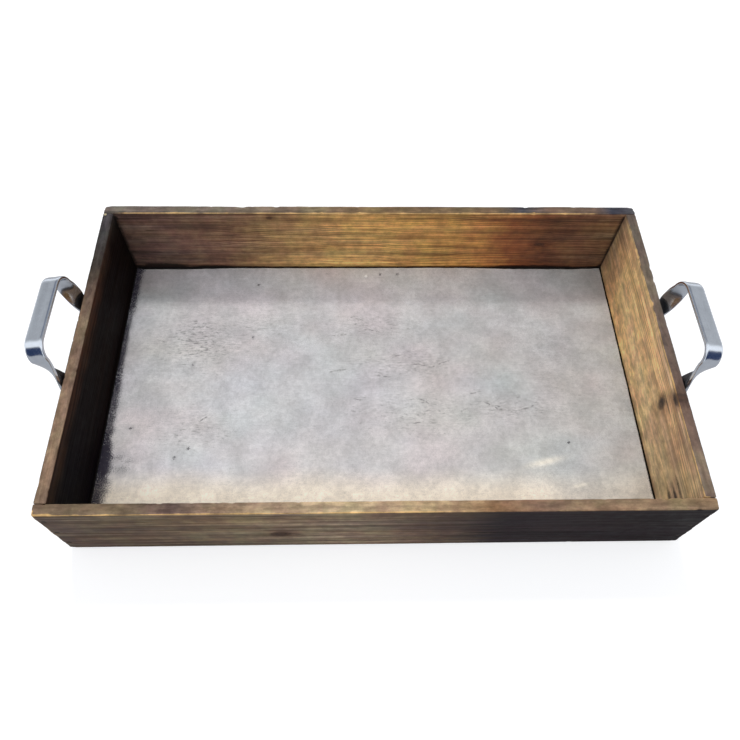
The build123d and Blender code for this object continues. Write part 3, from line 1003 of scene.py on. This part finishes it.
def strap_outline():
    """Section of the bar as (across, toward the outer face) points: flat back, rounded shoulders."""
    half_w, half_t = STRAP_WIDTH / 2, STRAP_THICKNESS / 2
    back_x, shoulder_x = half_w - BACK_EDGE, half_w - SHOULDER
    right = [(back_x * share, -half_t) for share in (0.2, 0.6)]
    for angle in np.radians(np.linspace(-90, 0, 4)):
        rise = BACK_EDGE * (1 + math.sin(angle))
        right.append((back_x + BACK_EDGE * math.cos(angle), rise - half_t))
    for angle in np.radians(np.linspace(0, 90, 9)):
        drop = SHOULDER_DROP * (1 - math.sin(angle))
        right.append((shoulder_x + SHOULDER * math.cos(angle), half_t - drop))
    right += [(shoulder_x * share, half_t) for share in (0.6, 0.2)]
    return np.array(right + [(-x, y) for x, y in reversed(right)])


def handle_piece(node, side, middle_y, seed):
    """One handle: a flat bar swept along its bends, with rounded feet."""
    start = Vector((half_length + STRAP_THICKNESS / 2, -LEG_Y, rim - FOOT_END_BELOW_RIM))
    strap = Strap(start, (0, 0, 1), (0, -1, 0), (1, 0, 0))
    straight = FOOT_END_BELOW_RIM - BEND_BELOW_RIM
    tip = STRAP_WIDTH / 2
    tip_steps = [(1 - math.cos(math.radians(a))) * tip / straight for a in range(9, 91, 9)]
    strap.run(straight, tip_steps + list(np.linspace(tip / straight, 1, 9))[1:])
    strap.bend(strap.face, LEAN_RADIUS, LEAN, 6)
    strap.run(LEAD, np.linspace(0, 1, 6)[1:])
    strap.twist(TWIST_LENGTH, -90, 36)
    strap.bend(-strap.face, GRIP_RADIUS, 90, 30)
    strap.run(-strap.place.y, np.linspace(0, 1, 17)[1:])
    mirror = Matrix.Diagonal((1, -1, 1))
    mirrored = [
        (mirror @ place, mirror @ across, mirror @ face, travelled)
        for place, across, face, travelled in reversed(strap.stations[:-1])
    ]
    stations = strap.stations + mirrored
    outline = strap_outline()
    rings = []
    for place, across, face, travelled in stations:
        narrow = 1.0
        if travelled < tip:
            narrow = max(0.08, math.sqrt(max(0.0, 1 - (1 - travelled / tip) ** 2)))
        section = outline * [narrow, WORN_THIN]
        rings.append(np.array(place) + np.outer(section[:, 0], across) + np.outer(section[:, 1], face))
    points = np.array(rings)
    count, width = points.shape[:2]
    flat = points.reshape(-1, 3)
    middle = np.repeat(np.array([list(place) for place, *_ in stations]), width, axis=0)
    inward = middle - flat
    inward /= np.maximum(np.linalg.norm(inward, axis=1), TINY)[:, None]
    uneven = np.clip(0.5 + fractal(flat, 17, seed, 2), 0, None)
    flat = flat + inward * (LEAST_WEAR + UNEVEN_WEAR * uneven)[:, None]
    index = np.arange(count * width).reshape(count, width)
    following = np.roll(index, -1, axis=1)
    ring = (index[:-1], following[:-1], following[1:], index[1:])
    quads = np.stack([part.ravel() for part in ring], axis=1)
    if side < 0:
        quads = quads[:, ::-1]
    flat = flat * [side, 1, 1] + [0, middle_y, 0]
    piece = mesh_piece(node + "_strap", flat, quads)
    shape = bmesh.new()
    shape.from_mesh(piece.data)
    ends = [edge for edge in shape.edges if edge.is_boundary]
    bmesh.ops.holes_fill(shape, edges=ends, sides=0)
    bmesh.ops.recalc_face_normals(shape, faces=shape.faces)
    for face in shape.faces:
        face.smooth = len(face.verts) == 4
    shape.to_mesh(piece.data)
    shape.free()
    return piece


def build_handles():
    material = bright_metal("handle_aluminium", linear(205, 211, 220), roughness=0.14, scratch=0.22)
    for node, side, seed in (("left_handle", -1, 101), ("right_handle", 1, 113)):
        low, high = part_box(node)
        piece = handle_piece(node, side, (low.y + high.y) / 2, seed)
        dress(piece, material, "polished_aluminium", node)


# ---- Carried-over CAD nodes ----
def dress_cad_nodes():
    """Gives the CAD nodes that no new piece replaces their materials."""
    finishes = {
        "zinc_plated_steel": bright_metal("screw_zinc", linear(196, 194, 186), 0.30),
        "nail_steel": bright_metal("nail_dark_steel", linear(72, 62, 54), 0.55),
        # The tack head is pure white and not metallic: a painted glint.
        "bright_tack_steel": bright_metal("tack_painted_glint", linear(255, 255, 255), 0.35, metallic=0.0),
        "pin_brass": bright_metal("pin_brass_metal", linear(220, 204, 164), 0.35, metallic=0.6),
        "plywood": plywood("panel_plywood"),
    }
    for part in frame["record"]["subparts"]:
        if part["material_slot"] in finishes:
            node = frame["nodes"][part["node"]]
            node.data.materials.clear()
            node.data.materials.append(finishes[part["material_slot"]])


# ---- Floor, light and camera ----
STAGE_HALF = 6.0
STAGE_GREY = (0.52, 0.52, 0.53)
STAGE_GLOW = 0.62  # light that only the camera sees, so that the stage stays pale
DARK_PATCHES = [  # direction of the world, then where its dimming starts, ends, and how far it goes
    ((0, 0.63, 0.777), 0.70, 0.96, 0.36),
    ((-0.66, 0.525, 0.54), 0.84, 0.97, 0.48),
    ((0.70, 0.51, 0.50), 0.84, 0.97, 0.48),
    ((-0.60, -0.76, 0.26), 0.82, 0.92, 0.10),
    ((0.64, -0.72, 0.26), 0.82, 0.92, 0.10),
]
SKY_STRENGTH = 1.30
NAVY, PALE_SKY = (0.28, 0.45, 1.0, 1), (0.96, 0.98, 1.0, 1)
NAVY_LEVEL, PALE_LEVEL = 0.10, 0.34
SUN_STRENGTH, SUN_WIDTH, SUN_COLOUR = 1.0, 6, (1.0, 0.97, 0.93)
SUN_DIRECTION = (-0.08, 0.59, 1.0)
FOCAL_LENGTH, SENSOR_WIDTH = 32.95, 36.0  # mm
CAMERA_PLACE = (-0.0395, -0.6149, 0.9482)  # in tray lengths, from the middle of the rim
CAMERA_TURN, CAMERA_TILT, CAMERA_ROLL = -3.04, 30.38, 2.38


def build_stage():
    reach = (-STAGE_HALF, STAGE_HALF)
    points = np.array([(x, y, 0) for x in reach for y in reach], float)
    floor = mesh_piece("studio_floor", points, np.array([[0, 2, 3, 1]]))
    shader = Shader("studio_floor_white", Roughness=0.9, Specular_IOR_Level=0.1)
    shader.surface.inputs["Emission Color"].default_value = WHITE
    glow = shader.times(shader.camera_ray(), STAGE_GLOW)
    shader.feed(shader.surface.inputs["Emission Strength"], glow)
    floor.data.materials.append(shader.finish(rgba(STAGE_GREY)))


def build_world():
    """Pale sky whose dark patches show only in reflections."""
    world = bpy.data.worlds.new("studio")
    bpy.context.scene.world = world
    world.use_nodes = True
    sky = Nodes(world.node_tree)
    here = sky.add("ShaderNodeTexCoord").outputs["Generated"]
    patches = []
    for direction, start, end, low in DARK_PATCHES:
        inputs = {0: here, 1: Vector(direction).normalized()}
        near = sky.add("ShaderNodeVectorMath", inputs, operation="DOT_PRODUCT").outputs["Value"]
        patches.append(sky.spread(near, start, end, 1.0, low))
    level = sky.math("MAXIMUM", sky.times(*patches), sky.camera_ray())
    paleness = sky.spread(level, NAVY_LEVEL, PALE_LEVEL, curve="LINEAR")
    background = sky.tree.nodes["Background"]
    sky.feed(background.inputs["Strength"], sky.times(level, SKY_STRENGTH))
    sky.feed(background.inputs["Color"], sky.mix(paleness, NAVY, PALE_SKY))


def build_sun():
    sun = bpy.data.lights.new("key", "SUN")
    sun.energy, sun.angle, sun.color = SUN_STRENGTH, math.radians(SUN_WIDTH), SUN_COLOUR
    lamp = bpy.data.objects.new("key", sun)
    bpy.context.scene.collection.objects.link(lamp)
    lamp.rotation_mode = "QUATERNION"
    lamp.rotation_quaternion = Vector(SUN_DIRECTION).to_track_quat("Z", "Y")
    lamp.visible_glossy = False


def build_camera():
    data = bpy.data.cameras.new("camera")
    data.lens, data.sensor_width = FOCAL_LENGTH, SENSOR_WIDTH
    data.clip_start, data.clip_end = 0.01, 50
    camera = bpy.data.objects.new("camera", data)
    bpy.context.scene.collection.objects.link(camera)
    place = Vector((0, 0, rim)) + tray_length * Vector(CAMERA_PLACE)
    turn = (
        Matrix.Rotation(math.radians(CAMERA_TURN), 4, "Z")
        @ Matrix.Rotation(math.radians(CAMERA_TILT), 4, "X")
        @ Matrix.Rotation(math.radians(CAMERA_ROLL), 4, "Z")
    )
    camera.matrix_world = Matrix.Translation(place) @ turn
    bpy.context.scene.camera = camera


build_boards()
build_sheet()
build_handles()
dress_cad_nodes()
build_stage()
build_world()
build_sun()
build_camera()
bpy.context.scene.view_settings.view_transform = "Standard"
